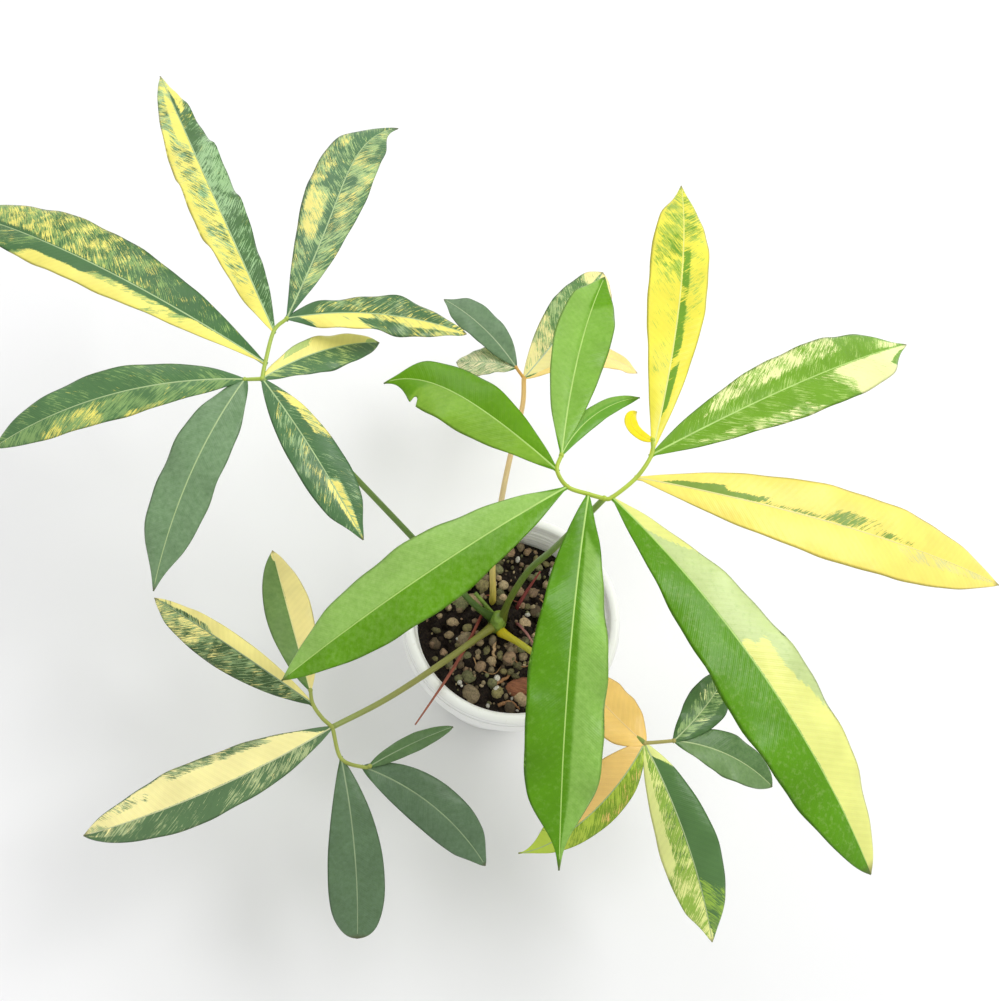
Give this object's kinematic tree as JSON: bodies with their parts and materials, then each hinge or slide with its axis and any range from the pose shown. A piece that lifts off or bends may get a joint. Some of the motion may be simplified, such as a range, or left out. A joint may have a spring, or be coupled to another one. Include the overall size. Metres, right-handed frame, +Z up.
{
  "type": "potted plant",
  "caption": "Potted compound-leaved philodendron: variegated fronds on slender stalks rise from a short crown in a stony mix, in a tapered round nursery pot with a rolled lip.",
  "frame": {"origin": "centre of the pot's flat underside", "axes": "+Z up along the pot's axis; -Y towards the viewer of the picture, +X to the viewer's right"},
  "size_m": [0.5491, 0.4094, 0.2511],
  "materials": {
    "pot_plastic": "smooth white moulded plastic, softly shiny",
    "potting_mix": "dark loose peat with pumice and perlite stones",
    "green_stem": "smooth green stem skin",
    "fresh_leaf": "glossy bright green leaf with yellow sectors",
    "marbled_leaf": "satin green leaf marbled with yellow",
    "dark_leaf": "satin dark green leaf with yellow halves",
    "pale_leaf": "satin leaf in dark green, cream and peach",
    "mixed_leaf": "satin leaf in peach, lime and dark green",
    "dried_sheath": "dry red-brown papery skin"
  },
  "bodies": {
    "root": {"pot": "pot_plastic", "potting_mix": "potting_mix", "crown": "green_stem", "frond_a": "fresh_leaf", "frond_b": "marbled_leaf", "frond_c": "dark_leaf", "frond_d": "pale_leaf", "frond_e": "mixed_leaf", "sheath_long": "dried_sheath", "sheath_north": "dried_sheath", "sheath_east": "dried_sheath"}
  },
  "joints": []
}
